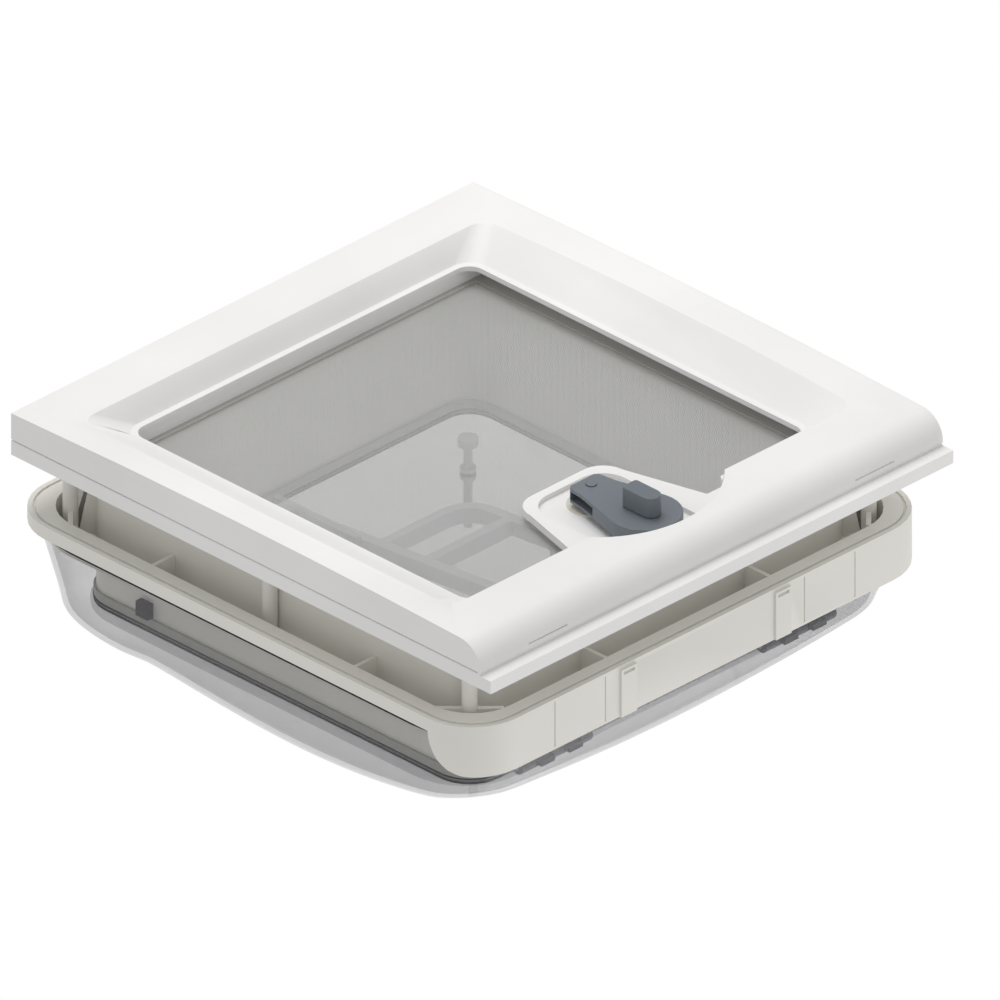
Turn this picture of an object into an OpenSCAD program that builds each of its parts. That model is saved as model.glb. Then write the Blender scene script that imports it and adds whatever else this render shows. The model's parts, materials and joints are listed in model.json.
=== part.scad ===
// Crank-operated roof vent for a caravan: roof frame, clear dome, lift gear, fly screen and inside trim.
// Origin: centre of the roof opening on the roof's outer face. +Z points out of the roof.

/* [Roof] */
// Side of the square cut-out in the roof
cutout = 280; // [270:1:300]
// Roof thickness held between the frame and the trim
roof_t = 29.5; // [27:0.5:36]

/* [Roof frame] */
// Rim beyond the cut-out along X
rim_over_x = 17; // [16:0.5:20]
// Rim beyond the cut-out along Y
rim_over_y = 18.5; // [18:0.5:22]
// Corner radius of the rim
rim_r = 30; // [28:1:32]
// Width of the rim face that lies on the roof
rim_w = 10.8; // [10.6:0.2:12]
// Height of the rim side
rim_h = 7; // [6:0.5:8]
// Depth of the channel behind the rim
channel_h = 16.5; // [12:0.5:17]
// Wall of the channel
wall_t = 2.3; // [2:0.1:2.5]
// Height of the deep skirt on the hinge side
skirt_h = 27.8; // [24:0.2:29]
// Wall of the deep skirt
skirt_wall = 2.5; // [2:0.1:2.7]
// Wall of the curb
curb_wall = 3; // [2.5:0.25:3.5]
// Corner radius of the curb
curb_r = 18; // [16:1:22]
// Height of the curb above the roof
curb_top = 45; // [44:0.5:46]
// Diameter of the screw posts
post_d = 7.6; // [7.2:0.2:8.2]
// Gap between the posts and the edge of the cut-out
post_clear = 1.8; // [1.4:0.2:2.4]

/* [Dome] */
// Rise of the dome's top above its shoulder
dome_rise = 42; // [38:1:48]
// Wall of the dome
dome_wall = 2.6; // [2.2:0.1:2.8]
// Rim of the dome inside the frame's rim
dome_inset = 3.5; // [3.4:0.1:4]
// Depth of the panels in the dome's sides
panel_depth = 5.5; // [0:0.5:5.5]
// Thickness of the inner pane
pane_t = 2; // [1.8:0.1:2.2]
// Opening angle of the dome
dome_open = 45; // [30:1:45]

/* [Hinge] */
// Place of the two hinges each side of the middle
hinge_x = 82; // [72:1:92]
// Radius of the hinge knuckles
knuckle_r = 4.2; // [3.8:0.1:4.2]
// Length of one knuckle
knuckle_l = 9; // [8:0.5:9.5]
// Radius of the hinge pins
hinge_pin_r = 1.75; // [1.5:0.05:2]

/* [Lift gear] */
// Crank axis along Y
crank_y = -82; // [-82:0.5:-81]
// Module of the worm and sector
gear_m = 2; // [1.95:0.05:2]
// Pitch radius of the worm
worm_r = 6; // [5.9:0.1:6.1]
// Width of the sector
sector_w = 3; // [2.5:0.5:3.5]
// Radius of the crank shaft
crank_shaft_r = 3; // [2.8:0.1:3]
// Radius of the lever shaft
lever_shaft_r = 4; // [3.5:0.1:4.2]
// Half width of the lever
lever_half = 32; // [30:0.5:34]
// Width of the lever's bars
lever_bar = 6; // [5:0.5:8]
// Height of the lever's bars
lever_h = 8; // [6:0.5:9]
// Lift roller's place in front of the lever shaft
tip_reach = 191; // [184:1:194]
// Lift roller's height above the lever shaft
tip_rise = 18; // [16:0.5:19]
// Radius of the lift roller
roller_r = 4.5; // [4:0.1:4.8]

/* [Trim] */
// Trim beyond the cut-out along X
trim_over_x = 15.8; // [14.6:0.2:20]
// Trim beyond the cut-out at the front
trim_over_front = 13; // [12.5:0.5:18]
// Trim cover beyond the cut-out on the crank side
trim_over_back = 23; // [22:0.5:25]
// Width of the ledge beside the bullnose
ledge_w = 7; // [5:0.5:9]
// Thickness of the trim base
base_t = 8.6; // [8:0.2:9.4]
// Thickness of the trim cover
cover_t = 16.6; // [15:0.2:18]
// Radius of the bullnose along the crank side
bullnose_r = 14; // [12:0.5:14.5]
// Crown of the cover, from its middle to its ends
crown = 2.4; // [1:0.2:3]
// Distance from the curb's inner face to the lip round the opening
lip_set = 14; // [12:0.5:17]

/* [Crank] */
// Radius of the round end of the crank
crank_disc_r = 18.5; // [16:0.5:19.5]
// Width of the crank's hub end
crank_end_w = 20; // [18:0.5:24]
// Thickness of the crank
crank_t = 8; // [7:0.5:9]
// Length of the knob
knob_l = 20; // [17:0.5:23]
// Width of the knob
knob_w = 10; // [9:0.5:12]
// Height of the knob
knob_h = 10.7; // [9:0.1:13]

/* [Fly screen] */
// Gaps of the net along X
net_nx = 14; // [8:1:16]
// Gaps of the net along Y
net_ny = 13; // [8:1:16]
// Width of the net's strands
strand = 0.8; // [0.5:0.1:1.2]

/* [Hidden] */
$fn = 48;

// Clearances
run_gap = 0.05;   // radial running fit
fix_gap = 0.02;   // radial gap of a fixed fit
seat_gap = 0.3;   // rest gap between bodies
side_gap = 0.5;   // gap beside parts that move
eps = 0.01;

// Places that follow from the roof opening
cut_half = cutout / 2;
post_r = post_d / 2;
post_pos = cut_half - post_clear - post_r;
post_sink = 0.4;
curb_half = post_pos - post_r + post_sink;
curb_in = curb_half - curb_wall;
rim_hx = cut_half + rim_over_x;
rim_hy = cut_half + rim_over_y;
post_xy = [for (sx = [-1, 1], sy = [-1, 0, 1]) [sx * post_pos, sy * post_pos]];
skirt_full = 8;
skirt_run = 30;
channel_r = 28;
land_h = 1;
land_in = 1;
land_half = cut_half + land_in;
base_top = -roof_t;
foot_z = base_top - land_h;

// Seals
lip_h = 3.6;
lip_in = 3;
lip_strip = 2.4;
lip_round = rim_r + 13;
seal_over = 1.4;
seal_top = 4.6;
seal_grip = 3;
ridge_low = 1.4;
ridge_h = 0.8;
ridge_out = 0.3;
groove_low = 2.1;
groove_in_d = 0.8;
bead_low = 3.4;
buffer = [4, 8, 8];
buffer_drop = 7.5;

// Hinge
hinge_off = 6.5;
hinge_y = -(curb_half + hinge_off);
hinge_z = curb_top - 1;
bracket_t = 1.6;
tie_h = 5;
riser_in = 0.9;
bracket_low = curb_top - 15;
bracket_high = curb_top - seal_grip - 0.5;
hinge_l = 5 * knuckle_l + 4 * side_gap;
leaf_gap = 0.5;
pin_over = 1;

// Dome
dome_edge = rim_h + lip_h + seat_gap;
dome_back_edge = skirt_h + 4.2;
dome_low = 45;
dome_hx = rim_hx - dome_inset;
dome_front = rim_hy - dome_inset - 0.5;
dome_back = rim_hy - 8.5;
dome_draft = 6.5;
back_draft = 3.5;
dome_r = 32;
pane_z = curb_top + seal_top + 0.4;
pane_hx = dome_hx - dome_draft - panel_depth - dome_wall - 2.4;
pane_front = curb_half + 8;
pane_back = curb_half + 2;
pane_r = 34;
stud_x = 85;
stud_y = 86;
stud_r = 2.2;
stud_head_r = 5;
stud_low = 32;

// Worm, sector and lever
sector_z = 18;
worm_pitch = PI * gear_m;
sector_r = gear_m * sector_z / 2;
lever_y = crank_y - worm_r - sector_r;
lever_z = 12;
tip_y = lever_y + tip_reach;
tip_z = lever_z + tip_rise;
lever_len = norm([tip_reach, tip_rise]);
tip_angle = atan2(tip_rise, tip_reach);
tip_thick = 5;
roller_bore = 2;
// Turn of the lever and of the crank for each turn of the dome
lever_ratio = 1.1;
crank_ratio = lever_ratio * sector_z;

// Turns a point of the fixed parts into the open dome's own frame
function into_dome(p, a) = [p.x * cos(a) + p.y * sin(a), p.y * cos(a) - p.x * sin(a)];
lever_from_hinge = [lever_y - hinge_y, lever_z - hinge_z];
function rail_point(a) =
    let (t = tip_angle + (lever_ratio - 1) * a)
    [hinge_y, hinge_z] + into_dome(lever_from_hinge, a) + lever_len * [cos(t), sin(t)];

// Trim heights, from the roof side down to the room side
cover_top = base_top - base_t;
cover_low = cover_top - cover_t;
trim_hx = cut_half + trim_over_x;
trim_front = cut_half + trim_over_front;
trim_back = -(cut_half + trim_over_back);
ledge_back = trim_back - ledge_w;
ledge_drop = 1.6;
shadow_h = 0.8;
shadow_d = 1;
lip_half = curb_in - lip_set;
lip_t = 2.6;
lip_w = 3.5;
lip_r = 8;
funnel_r = 9;
funnel_left = lip_half + 22;
funnel_right = lip_half + 29;
funnel_front = lip_half + 11;
funnel_back = -(lip_half + 14);
base_open_x = lip_half + 9;
base_open_front = lip_half + 1;
base_open_back = -(lip_half + 3);
screw_r = 1.5;
screw_head_r = 3.7;
screw_head_h = 3;
screw_l = 22;

// Tongue under the crank and the scoop in the cover
tongue_low = cover_top + 1.1;
tongue_t = 4;
tongue_front = crank_y + 23;
tongue_half = 31;
tongue_root = 44;
tongue_r = 13;
recess_d = 2.6;
scoop_r = 63.5;

// Gearbox
case_half = 14;
case_wall = 2.5;
case_back = -curb_in;
case_front = crank_y + 14;
case_low = tongue_low + tongue_t;
case_high = lever_z + sector_r + 1;
case_screw_r = 1.5;
case_boss_r = 2.4;
case_head_h = 1.2;
case_screw_yz = [
    [case_back + 4.5, case_high - 4.5], [case_back + 4.5, case_low + 4.5],
    [case_front - 4.8, case_high - 2.6], [case_front - 4.8, case_low + 4.5]];
bush_wall = 2;
worm_len = 25;

// Rail on the dome
rail_x = lever_half + 0.8;
rail_t = 4;
rail_slot = roller_r + 0.4;
rail_end = 11;
rail_flange = 16;
rail_flange_t = 2.4;
rail_steps = 10;
rail_edge = 4;
rail_screw_in = 6;
rail_screw_r = 1.2;
rail_head_r = 2.2;
rail_head_h = 1;

// Crank
crank_high = tongue_low - 0.6;
crank_low = crank_high - crank_t;
disc_y = -36;
end_y = 6.4;
knob_y = -35;
knob_pin_r = 2;
shaft_low = crank_low + 2.5;
shaft_high = case_high + 3;

// Screen
screen_half = curb_in - 1.5;
screen_z = foot_z;
screen_t = 2;
screen_in_x = base_open_x - 6;
screen_in_front = base_open_front - 3;
screen_in_back = base_open_back + 3;
screen_gap = case_head_h + seat_gap;
screen_edge = 3;
net_t = 0.6;

// Rounded rectangle about the origin, [half x, half y front, half y back], as points
function corner(cx, cy, r, from, n) =
    [for (i = [0:n]) [cx + r * cos(from + 90 * i / n), cy + r * sin(from + 90 * i / n)]];
function outline(hx, front, back, r, n = 8) = concat(
    corner(hx - r, front - r, r, 0, n), corner(r - hx, front - r, r, 90, n),
    corner(r - hx, r - back, r, 180, n), corner(hx - r, r - back, r, 270, n));
function smooth(t) = let (c = min(1, max(0, t))) c * c * (3 - 2 * c);

module plate(hx, front, back, r) polygon(outline(hx, front, back, r));
module rim_outline(inset) plate(rim_hx - inset, rim_hy - inset, rim_hy - inset, rim_r - inset);
module strip_outline(inset) plate(rim_hx - inset, rim_hy - inset, rim_hy - inset, lip_round - inset);
module curb_outline(inset) plate(curb_half - inset, curb_half - inset, curb_half - inset, curb_r - inset);
module across(x, l) translate([x, 0, 0]) rotate([90, 0, 90]) linear_extrude(l) children();
module rod(x, y, z, r, l) translate([x, y, z]) rotate([0, 90, 0]) cylinder(r = r, h = l);
module box(low, high) translate(low) cube(high - low);

// Roof frame: rim, deep channel, curb, deep skirt and screw posts in one moulding
clip_x = 52;
clip_w = 10.4;
clip_t = 1.2;
seam_x = [67, 101];
seam_w = 0.8;
rib_t = 2;
rib_low = 0.8;
rib_x = 0.42 * curb_half;
rib_y = 0.52 * curb_half;
brace_l = 33;
curb_corner = curb_half - curb_r * (1 - cos(45));
gusset_l = (post_pos - curb_corner) * sqrt(2) + curb_wall / 2;
groove_in = 2.5;
groove_w = 1.4;
groove_d = 1.2;
pilot_l = 20;

// Share of the rise from the plain edge to the hinge side's edge
function run_part(y) = min(1, max(0, (skirt_run - rim_hy - y) / (skirt_run - skirt_full)));
function back_share(y) = sqrt(1 - pow(1 - run_part(y), 2));
function skirt_curve() = [for (i = [0:9]) let (a = 90 - 10 * i)
    [skirt_run - rim_hy - (skirt_run - skirt_full) * (1 - cos(a)),
        rim_h - 1 + (skirt_h - rim_h + 1) * sin(a)]];

module skirt() {
    intersection() {
        linear_extrude(skirt_h)
            difference() {
                rim_outline(0);
                rim_outline(skirt_wall);
            }
        across(-rim_hx - 1, 2 * rim_hx + 2)
            polygon(concat(
                [[-rim_hy - 1, 1], [-rim_hy - 1, skirt_h]],
                skirt_curve(),
                [[skirt_run - rim_hy, 1]]));
    }
}

module ribs() {
    rib_h = channel_h - 1 - rib_low;
    for (s = [-1, 1]) {
        for (y = [-rib_y, rib_y])
            translate([s * (curb_half + rim_hx - rim_w) / 2, y, rib_low])
                linear_extrude(rib_h)
                    square([rim_hx - rim_w - curb_half + 2, rib_t], center = true);
        for (x = [-rib_x, rib_x])
            translate([x, s * (curb_half + rim_hy - rim_w) / 2, rib_low])
                linear_extrude(rib_h)
                    square([rib_t, rim_hy - rim_w - curb_half + 2], center = true);
    }
    for (sx = [-1, 1], sy = [-1, 1])
        translate([sx * post_pos, sy * post_pos, rib_low])
            rotate(-sx * sy * 45)
                linear_extrude(rib_h)
                    square([brace_l, rib_t + 0.5], center = true);
}

module clips() {
    for (s = [-1, 1])
        difference() {
            box([s * clip_x - clip_w / 2, -rim_hy - clip_t, 2],
                [s * clip_x + clip_w / 2, -rim_hy + 1, skirt_h]);
            box([s * clip_x - clip_w / 2 + 1.5, -rim_hy - clip_t - 1, 3.2],
                [s * clip_x + clip_w / 2 - 1.5, -rim_hy - 0.2, 5]);
        }
}

module bracket_holes(r, from, l) {
    for (s = [-1, 1], t = [-1, 1])
        translate([s * hinge_x + t * hinge_l / 3, from, bracket_low + 4])
            rotate([90, 0, 0])
                cylinder(r = r, h = l);
}

module channel_outline(inset)
    plate(rim_hx - rim_w + wall_t - inset, rim_hy - rim_w + wall_t - inset, rim_hy - rim_w + wall_t - inset,
        channel_r - inset);

module roof_frame() color("#d6d4cc")
    difference() {
        union() {
            linear_extrude(rim_h)
                difference() {
                    rim_outline(0);
                    channel_outline(wall_t);
                }
            linear_extrude(channel_h)
                difference() {
                    channel_outline(0);
                    channel_outline(wall_t);
                }
            translate([0, 0, channel_h - wall_t])
                linear_extrude(wall_t)
                    difference() {
                        channel_outline(wall_t / 2);
                        curb_outline(curb_wall / 2);
                    }
            skirt();
            ribs();
            clips();
        }
        translate([0, 0, -1])
            linear_extrude(channel_h + 2)
                curb_outline(-fix_gap);
        for (p = post_xy)
            translate([p.x, p.y, -1])
                cylinder(d = post_d + 2 * fix_gap, h = channel_h - wall_t + 1);
        translate([0, 0, -1])
            linear_extrude(groove_d + 1)
                difference() {
                    rim_outline(groove_in);
                    rim_outline(groove_in + groove_w);
                }
        for (s = [-1, 1], x = seam_x)
            box([s * x - seam_w / 2, -rim_hy - 1, 1.5],
                [s * x + seam_w / 2, -rim_hy + 0.5, skirt_h - 1.5]);
    }

// Curb: the square tube through the roof, with the screw posts, bonded into the frame's channel
module curb() color("#d2d0c8")
    difference() {
        union() {
            translate([0, 0, foot_z])
                linear_extrude(curb_top - foot_z)
                    curb_outline(0);
            for (p = post_xy)
                translate([p.x, p.y, foot_z])
                    cylinder(d = post_d, h = channel_h - wall_t - foot_z);
            for (sx = [-1, 1], sy = [-1, 1])
                translate([sx * post_pos, sy * post_pos, foot_z])
                    rotate(atan2(-sy, -sx))
                        translate([0, -rib_t / 2, 0])
                            cube([gusset_l, rib_t, channel_h - wall_t - foot_z]);
        }
        translate([0, 0, foot_z - 1])
            linear_extrude(curb_top - foot_z + 2)
                curb_outline(curb_wall);
        for (p = post_xy)
            translate([p.x, p.y, foot_z - 1])
                cylinder(r = screw_r + run_gap, h = pilot_l + 1);
        bracket_holes(screw_r + run_gap, -curb_in + 1, curb_wall + 2);
    }

// Rubber: the lip under the dome's edge, the seal on the curb and the buffers beside it
module weather_lip() color("#141414")
    translate([0, 0, rim_h])
        linear_extrude(lip_h)
            intersection() {
                difference() {
                    strip_outline(lip_in);
                    strip_outline(lip_in + lip_strip);
                }
                translate([-rim_hx, skirt_run + 0.5 - rim_hy])
                    square([2 * rim_hx, 2 * rim_hy]);
            }

module dome_seal() color("#1c1c1c")
    difference() {
        for (row = [[-seal_grip, seal_grip + groove_low + 0.1, 0], [ridge_low, ridge_h, -ridge_out],
            [groove_low, bead_low - groove_low + 0.1, groove_in_d], [bead_low, seal_top - bead_low, 0]])
            translate([0, 0, curb_top + row[0]])
                linear_extrude(row[1])
                    difference() {
                        curb_outline(row[2] - seal_over);
                        curb_outline(curb_wall + seal_over - row[2]);
                    }
        translate([0, 0, curb_top - seal_grip - 1])
            linear_extrude(seal_grip + 1)
                difference() {
                    curb_outline(-fix_gap);
                    curb_outline(curb_wall + fix_gap);
                }
    }

module dome_buffers() color("#202020")
    for (s = [-1, 1])
        translate([s * (curb_half + buffer.x / 2), stud_y, curb_top - buffer_drop])
            cube(buffer, center = true);

// Hinges: knuckles 1, 3 and 5 belong to the frame, 2 and 4 to the dome
function knuckle_start(i) = i * (knuckle_l + side_gap) - hinge_l / 2;

module hinge_brackets() color("#3a3d40")
    difference() {
        for (s = [-1, 1])
            translate([s * hinge_x, 0, 0])
                difference() {
                    union() {
                        box([-hinge_l / 2, -curb_half - bracket_t, bracket_low],
                            [hinge_l / 2, -curb_half, bracket_high]);
                        for (i = [0, 2, 4]) {
                            rod(knuckle_start(i), hinge_y, hinge_z, knuckle_r, knuckle_l);
                            box([knuckle_start(i), hinge_y + riser_in, bracket_high - tie_h],
                                [knuckle_start(i) + knuckle_l, -curb_half - bracket_t / 2, bracket_high]);
                            box([knuckle_start(i), hinge_y + riser_in, bracket_high - tie_h],
                                [knuckle_start(i) + knuckle_l, hinge_y + knuckle_r, hinge_z]);
                        }
                    }
                    rod(-hinge_l, hinge_y, hinge_z, hinge_pin_r + fix_gap, 2 * hinge_l);
                }
        bracket_holes(screw_r + run_gap, -curb_half + 1, bracket_t + 2);
    }

module hinge_pins() color("#b8bcc0")
    for (s = [-1, 1])
        rod(s * hinge_x - hinge_l / 2 - pin_over, hinge_y, hinge_z, hinge_pin_r, hinge_l + 2 * pin_over);

module hinge_screws() color("#c2c5c8") {
    bracket_holes(screw_r, -curb_in, curb_wall + bracket_t);
    bracket_holes(screw_r + 1.5, -curb_in + 1.4, 1.4);
}

// Feet bonded to the inside of the dome's hinge wall, each with one knuckle
foot_y = hinge_y - knuckle_r - leaf_gap;
foot_out = -(dome_back - back_draft - dome_wall + 0.6);
foot_low = hinge_z - 2;
foot_high = hinge_z + 1.2;
module dome_hinges() color("#4a4e52")
    for (s = [-1, 1], i = [1, 3])
        translate([s * hinge_x + knuckle_start(i), 0, 0])
            difference() {
                union() {
                    box([0, foot_out, foot_low], [knuckle_l, foot_y, foot_high]);
                    box([0, foot_out, hinge_z - 1.5], [knuckle_l, hinge_y, foot_high]);
                    rod(0, hinge_y, hinge_z, knuckle_r, knuckle_l);
                }
                rod(-1, hinge_y, hinge_z, hinge_pin_r + run_gap, knuckle_l + 2);
            }

// Screws that clamp the trim base to the posts
module clamp_screws() color("#c2c5c8")
    for (p = post_xy)
        translate([p.x, p.y, cover_top + screw_head_h + 0.5]) {
            cylinder(r = screw_r, h = screw_l);
            translate([0, 0, -screw_head_h])
                cylinder(r = screw_head_r, h = screw_head_h);
        }

// Plan of the tongue, with rounded front corners
function tongue_plan() = concat(
    [[-tongue_root, base_open_back - 4], [tongue_root, base_open_back - 4]],
    corner(tongue_half - tongue_r, tongue_front - tongue_r, tongue_r, 0, 6),
    corner(tongue_r - tongue_half, tongue_front - tongue_r, tongue_r, 90, 6));
recess_half = 26;
case_room = case_head_h + seat_gap;
recess_r = 14;
recess_front = tongue_front - 5;
recess_back = crank_y + disc_y - crank_disc_r - 4;
recess_l = recess_front - recess_back;
clip_pos = [110, trim_back + 9];
clip_size = [20, 2.5, 13];
clip_sunk = 5;

// Trim base: the ring against the ceiling, with the tongue that carries the crank
module trim_base() color("#e4e2da")
    difference() {
        union() {
            difference() {
                box([-trim_hx, ledge_back, cover_top], [trim_hx, trim_front, base_top]);
                box([-base_open_x, base_open_back, cover_top - 1],
                    [base_open_x, base_open_front, base_top + 1]);
                box([-land_half, -land_half, foot_z], [land_half, land_half, base_top + 1]);
            }
            translate([0, 0, tongue_low])
                linear_extrude(tongue_t)
                    polygon(tongue_plan());
        }
        translate([0, crank_y, cover_top - 1])
            cylinder(r = scoop_r, h = tongue_low - cover_top + 1, $fn = 96);
        translate([0, (recess_front + recess_back) / 2, tongue_low - 1])
            linear_extrude(recess_d + 1)
                plate(recess_half, recess_l / 2, recess_l / 2, recess_r);
        translate([0, crank_y, tongue_low - 1])
            cylinder(r = crank_shaft_r + 0.6, h = tongue_t + 2);
        box([-case_half - case_room, case_back - case_room, case_low],
            [case_half + case_room, case_front, base_top + 1]);
        box([-trim_hx - 1, ledge_back - 1, cover_top - 1],
            [trim_hx + 1, trim_back + 0.5, cover_top + ledge_drop]);
        for (s = [-1, 1])
            box([s * trim_hx - shadow_d, trim_back + 2, cover_top - 1],
                [s * trim_hx + shadow_d, trim_front + 1, cover_top + shadow_h]);
        box([-trim_hx - 1, trim_front - shadow_d, cover_top - 1],
            [trim_hx + 1, trim_front + 1, cover_top + shadow_h]);
        for (p = post_xy)
            translate([p.x, p.y, cover_top - 1]) {
                cylinder(r = screw_r + 0.6, h = base_t + 2);
                cylinder(r = screw_head_r + 0.4, h = screw_head_h + 1.5);
            }
        for (s = [-1, 1])
            translate([s * clip_pos.x, clip_pos.y, cover_top + clip_sunk / 2 - 0.5])
                cube([clip_size.x + 0.4, clip_size.y + 0.4, clip_sunk + 1], center = true);
    }

module trim_clips() color("#9da1a5")
    for (s = [-1, 1])
        translate([s * clip_pos.x, clip_pos.y, cover_top + clip_sunk - clip_size.z / 2])
            cube(clip_size, center = true);

// Trim cover: crowned face, bullnose on the crank side, funnel to the lip and the crank's tongue
crown_steps = 12;
nose_steps = 8;
function crown_z(y) = cover_low + crown * pow(y / trim_front, 2);
nose_y = trim_back + bullnose_r;
nose_h = cover_top - crown_z(nose_y) - 1;
function cover_profile() = concat(
    [[trim_front, cover_top]],
    [for (i = [0:crown_steps]) let (y = trim_front + (nose_y - trim_front) * i / crown_steps)
        [y, crown_z(y)]],
    [for (i = [1:nose_steps]) let (a = 90 * i / nose_steps)
        [nose_y - bullnose_r * sin(a), cover_top - 1 - nose_h * cos(a)]],
    [[trim_back, cover_top]]);
lip_z = cover_top - lip_t;
cavity_wall = 3;
pocket_x = lip_half - 6;
pocket_l = 80;
release_x = 110;
release_l = 26;

module lip_outline(grow)
    plate(lip_half + grow, lip_half + grow, lip_half + grow, lip_r + grow);

module funnel() {
    low = cover_low - 1;
    hull() {
        translate([0, 0, low])
            linear_extrude(eps)
                polygon(concat(
                    corner(funnel_right - funnel_r, funnel_front - funnel_r, funnel_r, 0, 6),
                    corner(funnel_r - funnel_left, funnel_front - funnel_r, funnel_r, 90, 6),
                    corner(funnel_r - funnel_left, funnel_back + funnel_r, funnel_r, 180, 6),
                    corner(funnel_right - funnel_r, funnel_back + funnel_r, funnel_r, 270, 6)));
        translate([0, 0, lip_z - eps])
            linear_extrude(eps)
                lip_outline(lip_w);
    }
}

module cover_cavities() {
    low = cover_low + 6;
    box([cavity_wall - trim_hx, funnel_front + cavity_wall, low],
        [trim_hx - cavity_wall, trim_front - cavity_wall, cover_top + 1]);
    for (s = [-1, 1]) {
        box([s * (funnel_right + trim_hx) / 2 - 4, funnel_back + 10, low],
            [s * (funnel_right + trim_hx) / 2 + 4, funnel_front - 6, cover_top + 1]);
        box([s * pocket_x - pocket_l / 2, trim_back + 6, low],
            [s * pocket_x + pocket_l / 2, funnel_back - 8, cover_top + 1]);
    }
}

module trim_cover() color("#f3f2f6")
    difference() {
        across(-trim_hx, 2 * trim_hx)
            polygon(cover_profile());
        funnel();
        translate([0, 0, lip_z - 1])
            linear_extrude(lip_t + 2)
                lip_outline(0);
        translate([0, crank_y, cover_low - 1])
            cylinder(r = scoop_r, h = cover_t + 2, $fn = 96);
        cover_cavities();
        for (s = [-1, 1])
            box([s * release_x - release_l / 2, trim_back - 1, cover_top - 3.2],
                [s * release_x + release_l / 2, trim_back + 1, cover_top - 2.4]);
    }

// Bezel round the crank shaft, in the tongue's recess
bezel_t = 0.8;
bezel_r = 12;
module crank_bezel() color("#d9d6ca")
    translate([0, crank_y, tongue_low + recess_d - bezel_t])
        difference() {
            cylinder(r = bezel_r, h = bezel_t);
            translate([0, 0, -1])
                cylinder(r = crank_shaft_r + 0.6, h = bezel_t + 2);
        }

// Fly screen: frame that passes round the gearbox, and the net in it
module screen_notch(edge) {
    half = case_half + screen_gap + edge;
    translate([-half, -2 * screen_half])
        square([2 * half, 2 * screen_half + case_front + screen_gap + edge]);
}

module screen_hole()
    difference() {
        translate([-screen_in_x, screen_in_back])
            square([2 * screen_in_x, screen_in_front - screen_in_back]);
        screen_notch(screen_edge);
    }

module screen_frame() color("#b4b4b0")
    translate([0, 0, screen_z])
        linear_extrude(screen_t)
            difference() {
                plate(screen_half, screen_half, screen_half, curb_r - curb_wall - 1.5);
                screen_hole();
                screen_notch(0);
            }

module fly_net() color("#8c8c8a") {
    step_x = (2 * screen_in_x - strand) / net_nx;
    step_y = (screen_in_front - screen_in_back - strand) / net_ny;
    translate([0, 0, screen_z + (screen_t - net_t) / 2])
        linear_extrude(net_t)
            difference() {
                screen_hole();
                for (i = [0:net_nx - 1], j = [0:net_ny - 1])
                    translate([-screen_in_x + strand + i * step_x, screen_in_back + strand + j * step_y])
                        square([step_x - strand, step_y - strand]);
            }
}

// Gearbox: two half shells, split through the worm's axis
module case_outline(inset)
    translate([case_back + inset, case_low + inset])
        square([case_front - case_back - 2 * inset, case_high - case_low - 2 * inset]);

module case_body() {
    difference() {
        across(-case_half, 2 * case_half)
            case_outline(0);
        difference() {
            across(case_wall - case_half, 2 * (case_half - case_wall))
                case_outline(case_wall);
            for (p = case_screw_yz)
                rod(-case_half, p.x, p.y, case_boss_r, 2 * case_half);
        }
        for (p = case_screw_yz)
            rod(-case_half - 1, p.x, p.y, case_screw_r + run_gap, 2 * case_half + 2);
        translate([0, crank_y, case_low - 1])
            cylinder(r = crank_shaft_r + bush_wall + fix_gap, h = case_high - case_low + 2);
        rod(-case_half - 1, lever_y, lever_z, lever_shaft_r + bush_wall + fix_gap, 2 * case_half + 2);
    }
}

module gearbox_left() color("#aeb2b6")
    intersection() {
        case_body();
        box([0, case_back - 1, case_low - 5], [2 * case_half, case_front + 5, case_high + 5]);
    }

module gearbox_right() color("#a4a8ac")
    intersection() {
        case_body();
        box([-2 * case_half, case_back - 1, case_low - 5], [0, case_front + 5, case_high + 5]);
    }

module case_screws() color("#c2c5c8")
    for (p = case_screw_yz) {
        rod(1 - case_half, p.x, p.y, case_screw_r, 2 * case_half - 1);
        rod(case_half, p.x, p.y, case_boss_r, case_head_h);
    }

module lever_bushes() color("#b89a55")
    for (s = [0, 1])
        mirror([s, 0, 0])
            difference() {
                union() {
                    rod(case_half - case_wall, lever_y, lever_z, lever_shaft_r + bush_wall, case_wall + 0.5);
                    rod(case_half, lever_y, lever_z, lever_shaft_r + 2 * bush_wall, 1);
                }
                rod(0, lever_y, lever_z, lever_shaft_r + run_gap, 2 * case_half);
            }

module worm_bushes() color("#b89a55")
    for (z = [case_low, case_high - case_wall])
        translate([0, crank_y, z])
            difference() {
                cylinder(r = crank_shaft_r + bush_wall, h = case_wall);
                translate([0, 0, -1])
                    cylinder(r = crank_shaft_r + run_gap, h = case_wall + 2);
            }

// Dome: rings of points from the edge over the shoulder to the top, outside and then inside
dome_scale = [1, 0.997, 0.985, 0.95, 0.9, 0.82, 0.7, 0.5, 0.25];
wall_rings = 2;
panel_front = 97;
panel_run = 150;
panel_step = 9;
back_drop = 14;
corner_drop = 18;
drop_run = 140;
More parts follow.
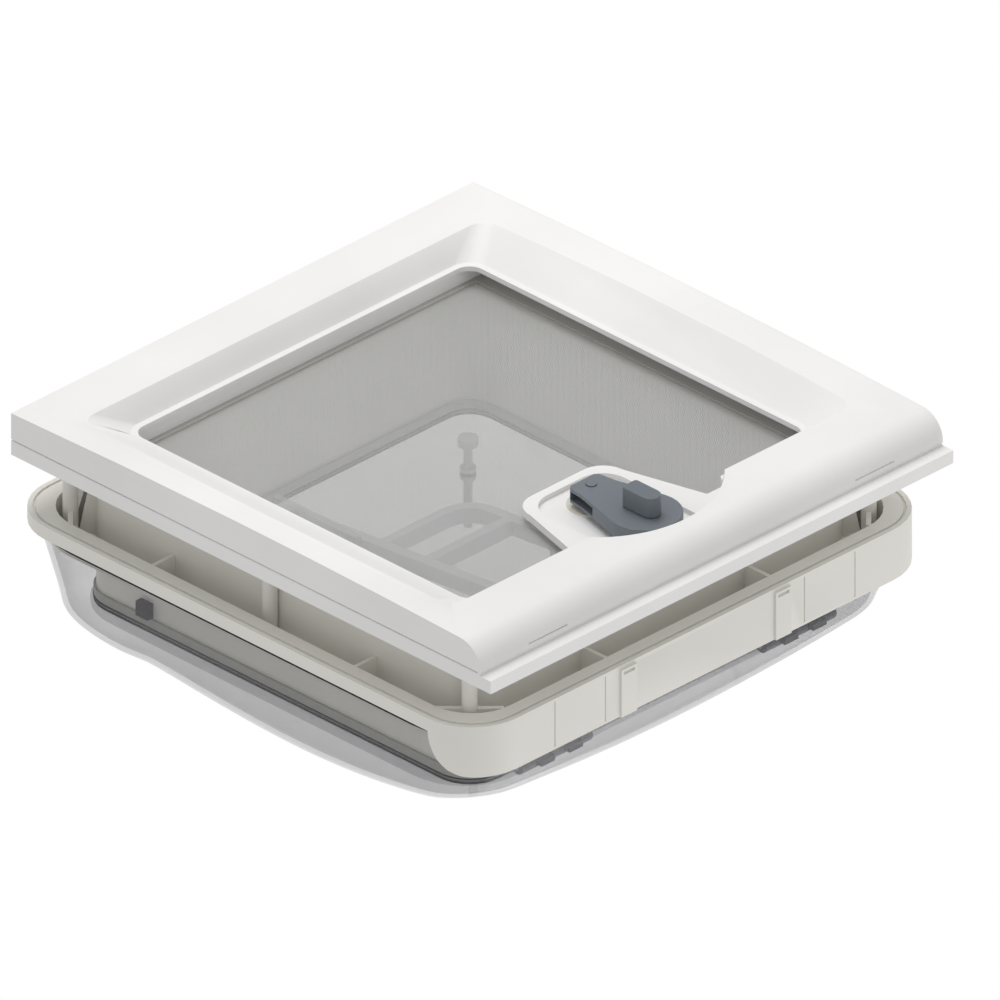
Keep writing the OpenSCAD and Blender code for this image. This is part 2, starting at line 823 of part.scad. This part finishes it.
// Plan points of one ring: half x, front and back with corner radius, and points along the straight sides
function side_ys(front, back, r) =
    [r - back, -90, -60, -30, 0, 30, 60, panel_front - panel_step, panel_front, panel_front + panel_step,
        front - r];
function plan(hx, front, back, r) = concat(
    [for (y = side_ys(front, back, r)) [hx, y]],
    [for (i = [1:5]) [hx - r + r * cos(15 * i), front - r + r * sin(15 * i)]],
    [for (i = [0:4]) [(hx - r) * (1 - i / 2), front]],
    [for (i = [1:5]) [r - hx + r * cos(90 + 15 * i), front - r + r * sin(90 + 15 * i)]],
    [for (y = turn_round(side_ys(front, back, r))) [-hx, y]],
    [for (i = [1:5]) [r - hx + r * cos(180 + 15 * i), r - back + r * sin(180 + 15 * i)]],
    [for (i = [0:4]) [(hx - r) * (i / 2 - 1), -back]],
    [for (i = [1:5]) [hx - r + r * cos(270 + 15 * i), r - back + r * sin(270 + 15 * i)]]);
function turn_round(list) = [for (i = [len(list) - 1:-1:0]) list[i]];
dome_n = len(plan(2 * dome_r, 200, 200, dome_r));
dome_rings = wall_rings + len(dome_scale);
// Inset of the side panels at a plan point: deepest near the front, running out towards the hinge
function panel(p, hx) = abs(p.x) < hx - 1 || p.y > panel_front + 1 ? 0 :
    panel_depth * sign(p.x) * smooth((p.y - panel_front + panel_run) / panel_run)
    * (p.y > panel_front - 1 ? 0.5 : 1);
function edge_plan(t) = plan(dome_hx - t, dome_front - t, dome_back - t, dome_r - t);
function shoulder_plan(t) =
    plan(dome_hx - dome_draft - t, dome_front - dome_draft - t, dome_back - back_draft - t, dome_r - t);
function edge_z(y) = dome_edge + (dome_back_edge - dome_edge) * back_share(y);
// The top falls towards the hinge and towards the four corners
function top_drop(x, y) =
    back_drop * pow(max(0, -y) / drop_run, 3) + corner_drop * pow(x / drop_run, 2) * pow(y / drop_run, 2);
function cap_z(d, x, y, t) =
    dome_low + max(1, dome_rise - t - top_drop(x, y)) * pow(1 - d * d * d, 1 / 3);
function wall_ring(i, t) = let (f = i / wall_rings, a = edge_plan(t), b = shoulder_plan(t))
    [for (j = [0:dome_n - 1]) let (p = a[j] + (b[j] - a[j]) * f, q = panel(b[j], dome_hx - dome_draft - t))
        [p.x - q * f, p.y, edge_z(a[j].y) + (dome_low - edge_z(a[j].y)) * f]];
function cap_ring(d, t) = let (b = shoulder_plan(t))
    [for (j = [0:dome_n - 1]) let (
        q = panel(b[j], dome_hx - dome_draft - t),
        keep = max(0, 1 - (1 - d) / 0.3))
        [(b[j].x - q * keep) * d, b[j].y * d, cap_z(d, b[j].x * d, b[j].y * d, t)]];
function skin_points(t) = concat(
    [for (i = [0:wall_rings - 1]) each wall_ring(i, t)],
    [for (d = dome_scale) each cap_ring(d, t)], [[0, 0, cap_z(0, 0, 0, t)]]);
function skin_faces(first, inside) = let (n = dome_n, last = first + dome_rings * n) concat(
    [for (i = [0:dome_rings - 2], j = [0:n - 1]) let (
        a = first + i * n + j, b = first + i * n + (j + 1) % n, c = b + n, d = a + n)
        each inside ? [[a, b, c], [a, c, d]] : [[a, c, b], [a, d, c]]],
    [for (j = [0:n - 1]) let (a = last - n + j, b = last - n + (j + 1) % n)
        inside ? [a, b, last] : [a, last, b]]);
function edge_faces() = let (n = dome_n, inner = dome_rings * n + 1)
    [for (j = [0:n - 1]) let (a = j, b = (j + 1) % n) each [[a, b, inner + b], [a, inner + b, inner + a]]];

module dome_shell() color([0.72, 0.73, 0.76, 0.5])
    polyhedron(concat(skin_points(0), skin_points(dome_wall)), concat(
        skin_faces(0, false), skin_faces(dome_rings * dome_n + 1, true), edge_faces()));

module stud_places()
    for (sx = [-1, 1], sy = [-1, 1])
        translate([sx * stud_x, sy * stud_y, 0])
            children();

module inner_pane() color([0.8, 0.81, 0.84, 0.5])
    difference() {
        translate([0, 0, pane_z])
            linear_extrude(pane_t)
                plate(pane_hx, pane_front, pane_back, pane_r);
        stud_places()
            translate([0, 0, pane_z - 1])
                cylinder(r = stud_r + fix_gap, h = pane_t + 2);
    }

// Studs that hang the inner pane from the dome, with a cup at the lower end
stud_share = max(stud_x / (dome_hx - dome_draft), stud_y / dome_front);
function stud_top(y) = cap_z(stud_share, stud_x, y, dome_wall / 2);
module pane_studs() color("#8d9094")
    for (sx = [-1, 1], sy = [-1, 1])
        translate([sx * stud_x, sy * stud_y, 0]) {
            translate([0, 0, stud_low + 2])
                cylinder(r = stud_r, h = stud_top(sy * stud_y) - stud_low - 2);
            translate([0, 0, stud_low])
                cylinder(r = stud_head_r, h = 4);
            translate([0, 0, pane_z - 2])
                cylinder(r = stud_head_r - 1, h = 2);
            translate([0, 0, pane_z + pane_t])
                cylinder(r = stud_head_r - 1, h = 2);
        }

// Rail under the inner pane, with the curved slot that the lift roller runs in
function slot_side(s) = [for (i = [0:rail_steps]) let (
    a = dome_open * i / rail_steps,
    d = rail_point(a + 0.1) - rail_point(a - 0.1),
    n = [-d.y, d.x] / norm(d)) rail_point(a) + s * rail_slot * n];
rail_low = min([for (i = [0:rail_steps]) rail_point(dome_open * i / rail_steps).y])
    - rail_slot - rail_edge;
rail_from = rail_point(dome_open).x - rail_end;
rail_to = rail_point(0).x + rail_end;
rail_screw_y = [rail_from + rail_screw_in, rail_to - rail_screw_in];

module lift_rail() color("#9fa3a8")
    difference() {
        union() {
            box([rail_x, rail_from, rail_low], [rail_x + rail_t, rail_to, pane_z - rail_flange_t / 2]);
            box([rail_x + rail_t / 2 - rail_flange / 2, rail_from, pane_z - rail_flange_t],
                [rail_x + rail_t / 2 + rail_flange / 2, rail_to, pane_z]);
        }
        across(rail_x - 1, rail_t + 2)
            polygon(concat(slot_side(1), turn_round(slot_side(-1))));
        for (a = [0, dome_open])
            rod(rail_x - 1, rail_point(a).x, rail_point(a).y, rail_slot, rail_t + 2);
        for (y = rail_screw_y, s = [-1, 1])
            translate([rail_x + rail_t / 2 + s * rail_screw_in, y, pane_z - rail_flange_t - 1])
                cylinder(r = rail_screw_r + run_gap, h = rail_flange_t + 2);
    }

module rail_screws() color("#c2c5c8")
    for (y = rail_screw_y, s = [-1, 1])
        translate([rail_x + rail_t / 2 + s * rail_screw_in, y, pane_z - rail_flange_t - rail_head_h]) {
            cylinder(r = rail_screw_r, h = rail_flange_t + rail_head_h);
            cylinder(r = rail_head_r, h = rail_head_h);
        }

// Lift lever: a bow with two windows, and one long bar up to the roller; drawn along the line to the roller
bow_front = 140;
bow_r = 18;
bow_mid = 107;
hub_gap = 1.4;
lever_hub_r = lever_shaft_r + 4;

module lever_plan() {
    difference() {
        union() {
            polygon(concat(
                [[-lever_half, 0], [lever_half, 0], [lever_half, bow_front]],
                corner(bow_r - lever_half, bow_front - bow_r, bow_r, 90, 8)));
            translate([lever_half - lever_bar, 0])
                square([lever_bar, lever_len]);
        }
        translate([lever_bar - lever_half, -1])
            square([2 * (lever_half - lever_bar), bow_mid - lever_bar / 2 + 1]);
        polygon(concat(
            [[lever_bar - lever_half, bow_mid + lever_bar / 2],
                [lever_half - lever_bar, bow_mid + lever_bar / 2],
                [lever_half - lever_bar, bow_front - lever_bar]],
            corner(bow_r - lever_half, bow_front - bow_r, bow_r - lever_bar, 90, 8)));
    }
}

module lift_lever() color("#b9bcc0")
    translate([0, lever_y, lever_z])
        rotate([tip_angle, 0, 0])
            difference() {
                union() {
                    translate([0, 0, -lever_h / 2])
                        linear_extrude(lever_h)
                            lever_plan();
                    for (x = [case_half + hub_gap, -lever_half])
                        rod(x, 0, 0, lever_hub_r, lever_half - case_half - hub_gap);
                    rod(lever_half - tip_thick, lever_len, 0, 5.5, tip_thick);
                }
                rod(-2 * lever_half, 0, 0, lever_shaft_r + fix_gap, 4 * lever_half);
                rod(0, lever_len, 0, roller_bore + fix_gap, 2 * lever_half);
            }

module lever_shaft() color("#b8bcc0")
    rod(-lever_half - 2, lever_y, lever_z, lever_shaft_r, 2 * lever_half + 4);

// Toothed sector on the lever shaft; a tooth points at the worm when the dome is shut
tooth_step = 360 / sector_z;
tooth_tip = sector_r + gear_m * 0.9;
tooth_root = sector_r - gear_m * 0.9;
tooth_tip_w = gear_m * 0.6;
tooth_root_w = gear_m * 1.8;
sector_hub = 3;
function tooth(k) = let (
    a = k * tooth_step,
    wt = asin(tooth_tip_w / 2 / tooth_tip), wr = asin(tooth_root_w / 2 / tooth_root))
    [for (q = [[tooth_root, -wr], [tooth_tip, -wt], [tooth_tip, wt], [tooth_root, wr]])
        q.x * [cos(a + q.y), sin(a + q.y)]];

module worm_sector() color("#e6e2d4")
    difference() {
        union() {
            across(-sector_w / 2, sector_w)
                translate([lever_y, lever_z])
                    polygon(concat([[0, 0]], [for (k = [-3:0]) each tooth(k)]));
            rod(-case_half + case_wall + side_gap, lever_y, lever_z, lever_shaft_r + sector_hub,
                2 * (case_half - case_wall - side_gap));
        }
        rod(-case_half, lever_y, lever_z, lever_shaft_r + fix_gap, 2 * case_half);
    }

module lift_pin() color("#b8bcc0") {
    rod(lever_half - tip_thick, tip_y, tip_z, roller_bore, tip_thick + rail_t + 2.6);
    rod(rail_x + rail_t + 0.5, tip_y, tip_z, roller_r - 0.6, 1.3);
}

module shaft_rings() color("#8f9397")
    for (x = [-lever_half - 1, lever_half])
        difference() {
            rod(x, lever_y, lever_z, lever_shaft_r + 2, 1);
            rod(x - 1, lever_y, lever_z, lever_shaft_r + fix_gap, 3);
        }

module lift_roller() color("#e8e6dc")
    difference() {
        rod(rail_x + 0.2, tip_y, tip_z, roller_r, rail_t - 0.4);
        rod(rail_x - 1, tip_y, tip_z, roller_bore + run_gap, rail_t + 2);
    }

// Crank shaft and worm
module crank_shaft() color("#b8bcc0") {
    difference() {
        translate([0, crank_y, shaft_low])
            cylinder(r = crank_shaft_r, h = shaft_high - shaft_low);
        translate([0, crank_y, shaft_low - 1])
            cylinder(r = 1.25 + fix_gap, h = 9);
    }
    translate([0, crank_y, case_high + seat_gap])
        difference() {
            cylinder(r = crank_shaft_r + 2, h = 1.2);
            translate([0, 0, -1])
                cylinder(r = crank_shaft_r - 0.5, h = 4);
        }
}

// One start, as a round off its axis, turned as it rises; its low side faces the sector at the lever's height
thread_r = 5.5;
thread_off = 2.2;
worm_turns = worm_len / worm_pitch;
module worm() color("#d8b45a")
    difference() {
        translate([0, crank_y, lever_z - worm_len / 2])
            rotate(90 + 180 * worm_turns)
                linear_extrude(worm_len, twist = 360 * worm_turns, slices = round(12 * worm_turns))
                    translate([thread_off, 0])
                        circle(thread_r, $fn = 16);
        translate([0, crank_y, lever_z - worm_len])
            cylinder(r = crank_shaft_r + fix_gap, h = 2 * worm_len);
    }

// Crank: arm with a round end, and a hollow hub end open on one side
function crank_plan() = let (w = crank_end_w / 2, lean = 12) concat(
    [for (i = [0:16]) let (a = 180 - lean + (180 + 2 * lean) * i / 16)
        [crank_disc_r * cos(a), disc_y + crank_disc_r * sin(a)]],
    [[w + 1, -4], [w, end_y - 2], [w - 2, end_y], [2 - w, end_y], [-w, end_y - 2], [-w - 1, -4]]);

module crank_arm() color("#5f666d")
    translate([0, crank_y, 0])
        difference() {
            translate([0, 0, crank_low])
                linear_extrude(crank_t)
                    polygon(crank_plan());
            box([4.5, -14, crank_low + 2], [20, end_y - 2, crank_high - 1.5]);
            translate([0, 0, shaft_low])
                cylinder(r = crank_shaft_r + fix_gap, h = 20);
            translate([0, 0, crank_low - 1])
                cylinder(r = 1.25 + fix_gap, h = crank_t);
            translate([0, 0, crank_low - 1])
                cylinder(r = 2.6, h = 2);
            translate([0, knob_y, crank_low - 1])
                cylinder(r = knob_pin_r + fix_gap, h = crank_t + 2);
        }

module crank_screw() color("#c2c5c8")
    translate([0, crank_y, crank_low - 0.4]) {
        cylinder(r = 2.5, h = 1.4);
        cylinder(r = 1.25, h = 9);
    }

module knob_pin() color("#b8bcc0")
    translate([0, crank_y + knob_y, crank_low - knob_h + 2])
        cylinder(r = knob_pin_r, h = crank_t + knob_h - 2.5);

function knob_plan() = concat(
    [[-knob_w / 2, knob_l / 2 - 1], [1 - knob_w / 2, knob_l / 2], [knob_w / 2 - 1, knob_l / 2],
        [knob_w / 2, knob_l / 2 - 1]],
    turn_round([for (i = [0:8]) let (a = 180 + 22.5 * i)
        [knob_w / 2 * cos(a), knob_w / 2 - knob_l / 2 + knob_w / 2 * sin(a)]]));

module crank_knob() color("#565d64")
    translate([0, crank_y + knob_y, crank_low - seat_gap - knob_h])
        difference() {
            linear_extrude(knob_h)
                polygon(knob_plan());
            translate([0, 0, 2])
                cylinder(r = knob_pin_r + run_gap, h = knob_h);
        }

roof_frame();
curb();
weather_lip();
dome_seal();
dome_buffers();
hinge_brackets();
hinge_pins();
hinge_screws();
clamp_screws();
trim_base();
trim_cover();
trim_clips();
crank_bezel();
screen_frame();
fly_net();
gearbox_left();
gearbox_right();
case_screws();
lever_bushes();
worm_bushes();
dome_shell();
inner_pane();
pane_studs();
dome_hinges();
lift_rail();
rail_screws();
lift_lever();
lever_shaft();
worm_sector();
lift_pin();
shaft_rings();
lift_roller();
crank_shaft();
worm();
crank_arm();
crank_screw();
knob_pin();
crank_knob();
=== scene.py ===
"""Looks for the caravan roof vent: rounded mouldings, a clear dome and a fine fly screen."""

import json
import math

import bmesh
import bpy
from mathutils import Matrix, Vector


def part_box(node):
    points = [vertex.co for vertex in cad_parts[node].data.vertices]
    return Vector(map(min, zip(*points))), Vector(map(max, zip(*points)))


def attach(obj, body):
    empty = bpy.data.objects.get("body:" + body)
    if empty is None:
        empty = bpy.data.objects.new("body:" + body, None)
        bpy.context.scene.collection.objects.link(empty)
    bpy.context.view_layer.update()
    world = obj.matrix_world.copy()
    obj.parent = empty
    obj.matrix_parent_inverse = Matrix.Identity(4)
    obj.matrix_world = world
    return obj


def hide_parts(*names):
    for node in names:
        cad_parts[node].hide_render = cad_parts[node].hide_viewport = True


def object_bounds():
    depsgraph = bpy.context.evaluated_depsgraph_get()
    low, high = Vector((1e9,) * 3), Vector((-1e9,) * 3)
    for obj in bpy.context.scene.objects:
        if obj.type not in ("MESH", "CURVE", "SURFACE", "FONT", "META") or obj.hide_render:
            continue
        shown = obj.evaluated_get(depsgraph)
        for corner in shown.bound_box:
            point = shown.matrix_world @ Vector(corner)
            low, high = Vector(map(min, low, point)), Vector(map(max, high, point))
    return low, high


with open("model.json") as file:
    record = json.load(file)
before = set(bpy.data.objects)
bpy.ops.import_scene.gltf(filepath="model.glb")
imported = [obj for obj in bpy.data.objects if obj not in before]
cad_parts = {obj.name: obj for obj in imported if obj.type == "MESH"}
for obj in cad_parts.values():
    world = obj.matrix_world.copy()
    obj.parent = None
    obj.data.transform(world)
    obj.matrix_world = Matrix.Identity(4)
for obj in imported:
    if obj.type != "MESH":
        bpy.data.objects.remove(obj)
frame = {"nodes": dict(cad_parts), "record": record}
cad_low, cad_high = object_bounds()
nodes = frame["nodes"]
record = frame["record"]
body_of = {n: b for b, members in record["behaviour"]["bodies"].items() for n in members}
slot_of = {s["node"]: s["material_slot"] for s in record["subparts"]}
scene = bpy.context.scene
MM = 0.001

# Materials
TONE_SCALE = 9          # slow change of tone over a surface
TONE_DETAIL = 3
TONE_RANGE = (0.3, 0.7)
GRAIN_SCALE = 900       # fine grain of a moulded surface
GRAIN_DETAIL = 2
GRAIN_DEPTH = 0.0003
NET_PITCH = 0.8 * MM
NET_OPEN = 0.62         # share of the pitch that is clear
SLANT_BLEND = 0.25


def linear(c):
    """One sRGB value of 0 to 255 as linear light."""
    c = c / 255
    return c / 12.92 if c <= 0.04045 else ((c + 0.055) / 1.055) ** 2.4


def plastic(name, rgb, rough, grain=0.04, bump=0.03, metal=0.0, alpha=1.0, spec=0.5):
    """A moulded surface with a slight change of tone and a fine grain."""
    mat = bpy.data.materials.new(name)
    mat.use_nodes = True
    tree = mat.node_tree
    shader = tree.nodes["Principled BSDF"]
    shader.inputs["Roughness"].default_value = rough
    shader.inputs["Metallic"].default_value = metal
    shader.inputs["Alpha"].default_value = alpha
    shader.inputs["Specular IOR Level"].default_value = spec
    place = tree.nodes.new("ShaderNodeTexCoord")
    noise = tree.nodes.new("ShaderNodeTexNoise")
    noise.inputs["Scale"].default_value = TONE_SCALE
    noise.inputs["Detail"].default_value = TONE_DETAIL
    tree.links.new(place.outputs["Object"], noise.inputs["Vector"])
    ramp = tree.nodes.new("ShaderNodeValToRGB")
    base = Vector([linear(c) for c in rgb])
    for stop, at, share in zip(ramp.color_ramp.elements, TONE_RANGE, (1 - grain, 1 + grain)):
        stop.position = at
        stop.color = (*[min(1, v) for v in base * share], 1)
    tree.links.new(noise.outputs["Fac"], ramp.inputs["Fac"])
    tree.links.new(ramp.outputs["Color"], shader.inputs["Base Color"])
    if bump:
        fine = tree.nodes.new("ShaderNodeTexNoise")
        fine.inputs["Scale"].default_value = GRAIN_SCALE
        fine.inputs["Detail"].default_value = GRAIN_DETAIL
        tree.links.new(place.outputs["Object"], fine.inputs["Vector"])
        relief = tree.nodes.new("ShaderNodeBump")
        relief.inputs["Strength"].default_value = bump
        relief.inputs["Distance"].default_value = GRAIN_DEPTH
        tree.links.new(fine.outputs["Fac"], relief.inputs["Height"])
        tree.links.new(relief.outputs["Normal"], shader.inputs["Normal"])
    return mat


def net_material(name, rgb):
    """A woven screen: strands along X and Y, clear between them."""
    mat = plastic(name, rgb, 0.6, bump=0)
    tree = mat.node_tree
    place = tree.nodes.new("ShaderNodeTexCoord")
    parts = tree.nodes.new("ShaderNodeSeparateXYZ")
    tree.links.new(place.outputs["Object"], parts.inputs["Vector"])
    both = tree.nodes.new("ShaderNodeMath")
    both.operation = "MAXIMUM"
    for i, axis in enumerate(("X", "Y")):
        wave = tree.nodes.new("ShaderNodeMath")
        wave.operation = "PINGPONG"
        wave.inputs[1].default_value = NET_PITCH / 2
        tree.links.new(parts.outputs[axis], wave.inputs[0])
        strand = tree.nodes.new("ShaderNodeMath")
        strand.operation = "GREATER_THAN"
        strand.inputs[1].default_value = NET_PITCH / 2 * NET_OPEN
        tree.links.new(wave.outputs[0], strand.inputs[0])
        tree.links.new(strand.outputs[0], both.inputs[i])
    tree.links.new(both.outputs[0], tree.nodes["Principled BSDF"].inputs["Alpha"])
    return mat


def acrylic(name, rgb, thin, thick):
    """A clear tinted sheet: the tint gets denser where the sheet is seen at a slant."""
    mat = plastic(name, rgb, 0.08, grain=0.01, bump=0)
    tree = mat.node_tree
    slant = tree.nodes.new("ShaderNodeLayerWeight")
    slant.inputs["Blend"].default_value = SLANT_BLEND
    tint = tree.nodes.new("ShaderNodeMapRange")
    tint.inputs["To Min"].default_value = thin
    tint.inputs["To Max"].default_value = thick
    tree.links.new(slant.outputs["Facing"], tint.inputs["Value"])
    tree.links.new(tint.outputs["Result"], tree.nodes["Principled BSDF"].inputs["Alpha"])
    return mat


mats = {
    "frame_plastic": plastic("frame_plastic", (231, 229, 222), 0.5),
    "black_rubber": plastic("black_rubber", (18, 18, 18), 0.8, spec=0.2),
    "dark_plastic": plastic("dark_plastic", (74, 77, 80), 0.5),
    "steel": plastic("steel", (196, 198, 200), 0.32, metal=1.0, bump=0.01),
    "trim_white": plastic("trim_white", (239, 238, 237), 0.42),
    "trim_beige": plastic("trim_beige", (214, 210, 198), 0.5),
    "screen_plastic": plastic("screen_plastic", (176, 175, 170), 0.5),
    "net_fabric": net_material("net_fabric", (186, 186, 185)),
    "gear_plastic": plastic("gear_plastic", (214, 215, 217), 0.45),
    "clear_acrylic": acrylic("clear_acrylic", (112, 112, 117), 0.075, 0.54),
    "brass": plastic("brass", (190, 155, 88), 0.3, metal=1.0, bump=0.01),
    "nylon": plastic("nylon", (226, 223, 210), 0.5),
    "crank_grey": plastic("crank_grey", (112, 119, 126), 0.42),
}
# Partly painted shade: the seal's grey is set darker so it matches the curb wall in shade around it
seal_grey_partly_painted_shade = plastic("seal_grey_partly_painted_shade", (170, 170, 162), 0.6)
rail_clear = plastic("rail_clear", (224, 225, 227), 0.45, alpha=0.4)

# CAD nodes
NODE_SHARP = math.radians(32)

for name, obj in nodes.items():
    obj.data.materials.clear()
    obj.data.materials.append(mats[slot_of[name]])
    obj.data.shade_smooth()
    obj.data.set_sharp_from_angle(angle=NODE_SHARP)

# The lift rail is see-through behind the screen
nodes["lift_rail"].data.materials[0] = rail_clear

# Pieces that stand for CAD nodes
WELD = 0.000002                     # points closer than this are one
FLAT = math.radians(0.5)            # faces that meet at less are one
BEVEL_ANGLE = math.radians(30)
BEVEL_STEPS = 2
ROUNDING = {                        # radius in millimetres
    "roof_frame": 0.5, "curb": 0.4, "trim_cover": 0.8, "trim_base": 0.5, "crank_arm": 1.0, "crank_knob": 1.0,
    "lift_lever": 0.6, "screen_frame": 0.4, "weather_lip": 0.4, "dome_seal": 0.1,
}
SEAL_RIDGE = (46.35, 47.25)         # heights of the seal's black bands, in millimetres
SEAL_BEAD = 48.45
DOME_JOIN = math.radians(4)         # triangles that become quads
DOME_JOIN_SHAPE = math.radians(70)
DOME_SHARP = math.radians(40)
DOME_LEVELS = 2


def stand_for(obj, node):
    """Show obj in place of the CAD node: same body, same material slot."""
    scene.collection.objects.link(obj)
    if not obj.data.materials:
        obj.data.materials.append(mats[slot_of[node]])
    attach(obj, body_of[node])
    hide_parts(node)
    return obj


def welded(node):
    """A copy of the node's mesh, open for editing and with double points joined."""
    mesh = nodes[node].data.copy()
    bm = bmesh.new()
    bm.from_mesh(mesh)
    bmesh.ops.remove_doubles(bm, verts=bm.verts, dist=WELD)
    return mesh, bm


def put(node, mesh, bm, sharp):
    """Close the edited copy and show it, smooth but for its sharp edges."""
    bm.to_mesh(mesh)
    bm.free()
    mesh.update()
    obj = stand_for(bpy.data.objects.new("look_" + node, mesh), node)
    mesh.shade_smooth()
    mesh.set_sharp_from_angle(angle=sharp)
    return obj


def rounded(node, radius):
    """A copy of the node with its sharp edges rounded."""
    mesh, bm = welded(node)
    bmesh.ops.dissolve_limit(bm, angle_limit=FLAT, verts=bm.verts, edges=bm.edges)
    obj = put(node, mesh, bm, BEVEL_ANGLE)
    bevel = obj.modifiers.new("edges", "BEVEL")
    bevel.width = radius
    bevel.segments = BEVEL_STEPS
    bevel.limit_method = "ANGLE"
    bevel.angle_limit = BEVEL_ANGLE
    bevel.harden_normals = True
    return obj


def smooth_dome():
    """A copy of the dome whose shallow edges are smoothed, with its sharp edges kept."""
    mesh, bm = welded("dome_shell")
    bmesh.ops.join_triangles(bm, faces=bm.faces, angle_face_threshold=DOME_JOIN,
                             angle_shape_threshold=DOME_JOIN_SHAPE)
    crease = bm.edges.layers.float.new("crease_edge")
    for edge in bm.edges:
        if edge.calc_face_angle(math.pi) > DOME_SHARP:
            edge[crease] = 1
    finer = put("dome_shell", mesh, bm, DOME_SHARP).modifiers.new("finer", "SUBSURF")
    finer.levels = DOME_LEVELS
    finer.render_levels = DOME_LEVELS


looks = {node: rounded(node, radius * MM) for node, radius in ROUNDING.items()}

# The curb's seal: its ridge and its bead in black, the rest in a grey that is partly the seal's own colour
# and partly painted shade, set darker to match the shaded curb wall beside it
seal = looks["dome_seal"].data
seal.materials.append(seal_grey_partly_painted_shade)
for face in seal.polygons:
    z = face.center.z / MM
    face.material_index = 0 if SEAL_RIDGE[0] < z < SEAL_RIDGE[1] or z > SEAL_BEAD else 1

smooth_dome()

# Fly screen: one woven sheet in the frame's opening, with a notch for the gearbox
NOTCH_HALF = 0.0185
NOTCH_INSIDE = 0.018


def net_sheet():
    """The net as one flat face, halfway through the CAD net's thickness."""
    low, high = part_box("fly_net")
    z = (low.z + high.z) / 2
    notch_y = min(v.co.y for v in nodes["fly_net"].data.vertices if abs(v.co.x) < NOTCH_INSIDE)
    points = [(low.x, low.y), (-NOTCH_HALF, low.y), (-NOTCH_HALF, notch_y), (NOTCH_HALF, notch_y),
              (NOTCH_HALF, low.y), (high.x, low.y), (high.x, high.y), (low.x, high.y)]
    mesh = bpy.data.meshes.new("look_fly_net")
    mesh.from_pydata([(x, y, z) for x, y in points], [], [list(range(len(points)))])
    obj = stand_for(bpy.data.objects.new("look_fly_net", mesh), "fly_net")


net_sheet()

# Stage: pale floor seen from above only, white surroundings, soft lamps above and below
FLOOR_DROP = 0.002
FLOOR_HALF = 3.0
FLOOR_TONE = 0.9
SKY_STRENGTH = 0.64
WHITE = (1, 1, 1, 1)


def lamp(name, place, size, power):
    """A square lamp that looks at the middle of the part."""
    light = bpy.data.lights.new(name, "AREA")
    light.size = size
    light.energy = power
    obj = bpy.data.objects.new(name, light)
    scene.collection.objects.link(obj)
    obj.location = place
    obj.rotation_euler = (-Vector(place)).to_track_quat("-Z", "Y").to_euler()


def make_floor():
    """A pale floor just below the part, clear from below."""
    mesh = bpy.data.meshes.new("floor")
    z = cad_low.z - FLOOR_DROP
    r = FLOOR_HALF
    mesh.from_pydata([(-r, -r, z), (r, -r, z), (r, r, z), (-r, r, z)], [], [(0, 1, 2, 3)])
    obj = bpy.data.objects.new("floor", mesh)
    scene.collection.objects.link(obj)
    mat = bpy.data.materials.new("floor")
    mat.use_nodes = True
    tree = mat.node_tree
    tree.nodes.remove(tree.nodes["Principled BSDF"])
    pale = tree.nodes.new("ShaderNodeBsdfDiffuse")
    pale.inputs["Color"].default_value = (FLOOR_TONE, FLOOR_TONE, FLOOR_TONE, 1)
    clear = tree.nodes.new("ShaderNodeBsdfTransparent")
    side = tree.nodes.new("ShaderNodeNewGeometry")
    mix = tree.nodes.new("ShaderNodeMixShader")
    tree.links.new(side.outputs["Backfacing"], mix.inputs["Fac"])
    tree.links.new(pale.outputs[0], mix.inputs[1])
    tree.links.new(clear.outputs[0], mix.inputs[2])
    tree.links.new(mix.outputs[0], tree.nodes["Material Output"].inputs["Surface"])
    mesh.materials.append(mat)
    obj.visible_shadow = False
    obj.visible_diffuse = False


def make_world():
    """Even light all round, seen as white by the camera and in gloss and glass."""
    world = bpy.data.worlds.new("studio")
    scene.world = world
    world.use_nodes = True
    tree = world.node_tree
    sky = tree.nodes["Background"]
    sky.inputs["Color"].default_value = WHITE
    sky.inputs["Strength"].default_value = SKY_STRENGTH
    white = tree.nodes.new("ShaderNodeBackground")
    white.inputs["Color"].default_value = WHITE
    white.inputs["Strength"].default_value = 1.0
    path = tree.nodes.new("ShaderNodeLightPath")
    shown = path.outputs["Is Camera Ray"]
    for ray in ("Is Glossy Ray", "Is Transmission Ray"):
        either = tree.nodes.new("ShaderNodeMath")
        either.operation = "MAXIMUM"
        tree.links.new(shown, either.inputs[0])
        tree.links.new(path.outputs[ray], either.inputs[1])
        shown = either.outputs[0]
    mix = tree.nodes.new("ShaderNodeMixShader")
    tree.links.new(shown, mix.inputs["Fac"])
    tree.links.new(sky.outputs[0], mix.inputs[1])
    tree.links.new(white.outputs[0], mix.inputs[2])
    tree.links.new(mix.outputs[0], tree.nodes["World Output"].inputs["Surface"])


make_floor()
make_world()
lamp("under", (-0.15, 0.35, -1.35), size=0.8, power=8.6)
lamp("above", (-0.5, -0.8, 1.2), size=1.0, power=6.5)

# Camera: the photo's parallel view, with the trim at the top of the picture
VIEW_WIDTH = 0.4762
VIEW_DISTANCE = 1.5
VIEW_TARGET = Vector((-11.28, -9.20, -2.55)) * MM
right = Vector((-0.70711, -0.70711, 0))
up = Vector((-0.35355, 0.35355, -0.86603))
back = right.cross(up)
place = VIEW_TARGET + back * VIEW_DISTANCE

cam = bpy.data.cameras.new("camera")
cam.type = "ORTHO"
cam.ortho_scale = VIEW_WIDTH
eye = bpy.data.objects.new("camera", cam)
scene.collection.objects.link(eye)
eye.matrix_world = Matrix((
    (right.x, up.x, back.x, place.x),
    (right.y, up.y, back.y, place.y),
    (right.z, up.z, back.z, place.z),
    (0, 0, 0, 1)))
scene.camera = eye
scene.view_settings.view_transform = "Standard"
